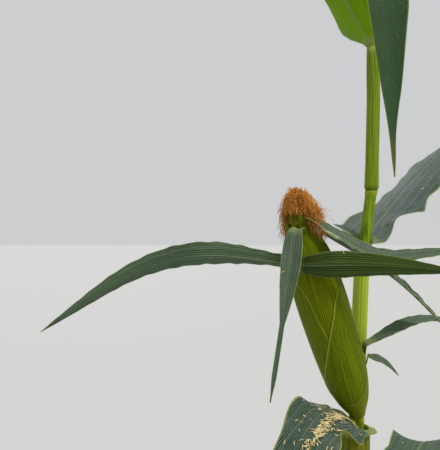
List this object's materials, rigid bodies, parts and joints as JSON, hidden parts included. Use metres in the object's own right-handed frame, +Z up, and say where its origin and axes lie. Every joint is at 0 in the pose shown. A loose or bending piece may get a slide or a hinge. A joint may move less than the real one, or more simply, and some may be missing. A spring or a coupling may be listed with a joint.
{
  "type": "maize plant",
  "caption": "Whole maize plant in leaf with a leaning husked ear on the stalk, orange silk at the ear's tip, a tassel on top and brace roots at the foot.",
  "frame": {"origin": "middle of the flat cut under the stalk, at ground level", "axes": "+Z up along the stalk; -Y towards the side from which the ear is seen, with the ear leaning to -X; +X to the right"},
  "size_m": [0.8707, 0.8201, 2.2502],
  "materials": {
    "stalk": "satin, waxy green with straw-coloured nodes",
    "leaf": "matt grey-green with fine lengthwise veins and a pale midrib",
    "husk": "satin yellow-green with fine ribs",
    "husk_blade": "matt blue-green with fine lengthwise veins",
    "silk": "matt rusty orange strands, yellow-green at their foot",
    "tassel": "matt straw-coloured"
  },
  "bodies": {
    "root": {"stalk": "stalk", "leaf_01_sheath": "stalk", "leaf_01_blade": "leaf", "leaf_01_end": "leaf", "leaf_02_sheath": "stalk", "leaf_02_blade": "leaf", "leaf_02_end": "leaf", "leaf_03_sheath": "stalk", "leaf_03_blade": "leaf", "leaf_03_end": "leaf", "leaf_04_sheath": "stalk", "leaf_04_blade": "leaf", "leaf_04_end": "leaf", "leaf_05_sheath": "stalk", "leaf_05_blade": "leaf", "leaf_05_end": "leaf", "leaf_06_sheath": "stalk", "leaf_06_blade": "leaf", "leaf_06_end": "leaf", "leaf_07_sheath": "stalk", "leaf_07_blade": "leaf", "leaf_07_end": "leaf", "leaf_08_sheath": "stalk", "leaf_08_blade": "leaf", "leaf_08_end": "leaf", "leaf_09_sheath": "stalk", "leaf_09_blade": "leaf", "leaf_09_end": "leaf", "leaf_10_sheath": "stalk", "leaf_10_blade": "leaf", "leaf_10_end": "leaf", "leaf_11_sheath": "stalk", "leaf_11_blade": "leaf", "leaf_11_end": "leaf", "ear_shank": "husk", "ear_body": "husk", "husk_front": "husk", "husk_left": "husk", "husk_right": "husk", "blade_front": "husk_blade", "blade_crossing": "husk_blade", "blade_left": "husk_blade", "blade_right_upper": "husk_blade", "blade_right_back": "husk_blade", "blade_low_rising": "husk_blade", "blade_low_falling": "husk_blade", "silk": "silk", "tassel": "tassel"}
  },
  "joints": []
}
